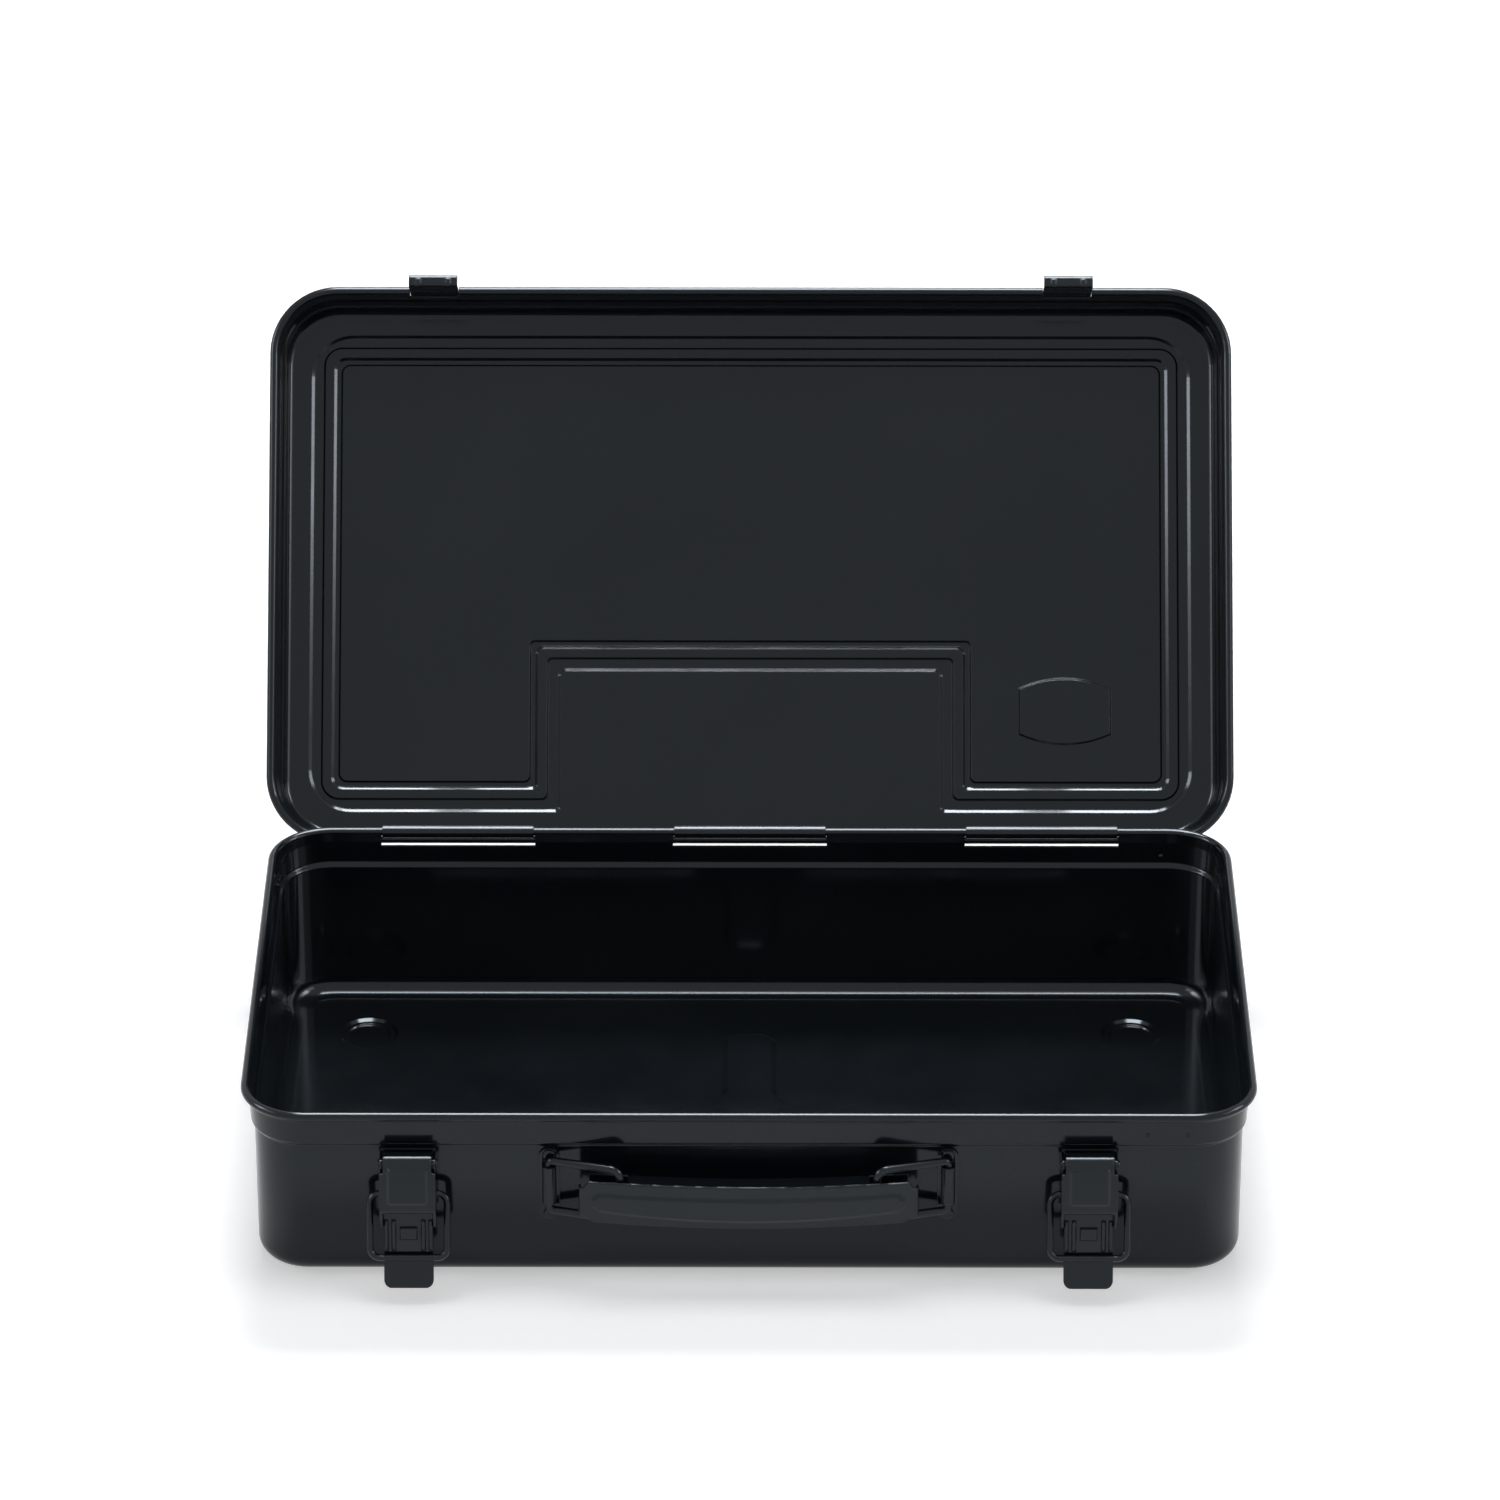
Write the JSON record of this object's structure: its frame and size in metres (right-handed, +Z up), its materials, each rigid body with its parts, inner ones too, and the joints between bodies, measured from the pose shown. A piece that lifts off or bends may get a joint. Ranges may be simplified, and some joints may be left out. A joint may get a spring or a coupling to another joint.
{
  "type": "toolbox",
  "caption": "Open pressed-steel toolbox: shallow tray, tilting lid on bead-curled hinges, toggle latches with wire loops and a folding swing handle.",
  "frame": {"origin": "under the middle of the open toolbox's outer box, on the plane that its feet stand on", "axes": "+X to the right along the front, +Y back towards the hinges and the open lid, +Z up"},
  "size_m": [0.364, 0.3574, 0.246],
  "materials": {
    "tray_paint": "semi-gloss baked enamel, blue-black",
    "lid_paint": "semi-gloss baked enamel, blue-black",
    "hinge_paint": "semi-gloss baked enamel, blue-black",
    "hardware_paint": "gloss enamel over pressed steel, blue-black",
    "handle_paint": "gloss enamel over pressed steel and wire, blue-black"
  },
  "bodies": {
    "tray": {"tray": "tray_paint", "latch_base_left": "hardware_paint", "latch_base_right": "hardware_paint", "latch_pin_left": "hardware_paint", "latch_pin_right": "hardware_paint", "handle_bracket_left": "handle_paint", "handle_bracket_right": "handle_paint", "handle_rivets": "handle_paint"},
    "lid": {"lid": "lid_paint", "hinge_strap_left": "hinge_paint", "hinge_strap_center": "hinge_paint", "hinge_strap_right": "hinge_paint", "keeper_left": "hardware_paint", "keeper_right": "hardware_paint"},
    "lever_left": {"latch_lever_left": "hardware_paint"},
    "lever_right": {"latch_lever_right": "hardware_paint"},
    "loop_left": {"latch_loop_left": "hardware_paint"},
    "loop_right": {"latch_loop_right": "hardware_paint"},
    "grip": {"handle_grip": "handle_paint"},
    "ring_left": {"handle_ring_left": "handle_paint"},
    "ring_right": {"handle_ring_right": "handle_paint"}
  },
  "joints": [
    {"name": "lid_hinge", "type": "hinge", "parent": "tray", "child": "lid", "pos_m": [0, 0.03936, 0.0691], "axis": [-1, 0, 0], "range_deg": [-125.1, 0]},
    {"name": "latch_lever_left_pivot", "type": "hinge", "parent": "tray", "child": "lever_left", "pos_m": [-0.1199, -0.16764, 0.0513], "axis": [-1, 0, 0], "range_deg": [-14, 120]},
    {"name": "latch_loop_left_pivot", "type": "hinge", "parent": "lever_left", "child": "loop_left", "pos_m": [-0.1199, -0.16703, 0.03909], "axis": [1, 0, 0], "range_deg": [-159.67, 0]},
    {"name": "latch_lever_right_pivot", "type": "hinge", "parent": "tray", "child": "lever_right", "pos_m": [0.1199, -0.16764, 0.0513], "axis": [-1, 0, 0], "range_deg": [-14, 120]},
    {"name": "latch_loop_right_pivot", "type": "hinge", "parent": "lever_right", "child": "loop_right", "pos_m": [0.1199, -0.16703, 0.03909], "axis": [1, 0, 0], "range_deg": [-159.67, 0]},
    {"name": "handle_pull", "type": "slide", "parent": "tray", "child": "grip", "axis": [0, -1, 0], "range_m": [-0.0057, 0.01635]},
    {"name": "handle_ring_left_turn", "type": "hinge", "parent": "tray", "child": "ring_left", "pos_m": [-0.0703, -0.16554, 0.04175], "axis": [0, 0, -1], "range_deg": [-15, 43]},
    {"name": "handle_ring_right_turn", "type": "hinge", "parent": "tray", "child": "ring_right", "pos_m": [0.0703, -0.16554, 0.04175], "axis": [0, 0, 1], "range_deg": [-15, 43]}
  ],
  "couplings": [
    {"joint": "handle_ring_left_turn", "follows": "handle_pull", "rad_per_m": 45.91},
    {"joint": "handle_ring_right_turn", "follows": "handle_pull", "rad_per_m": 45.91}
  ]
}
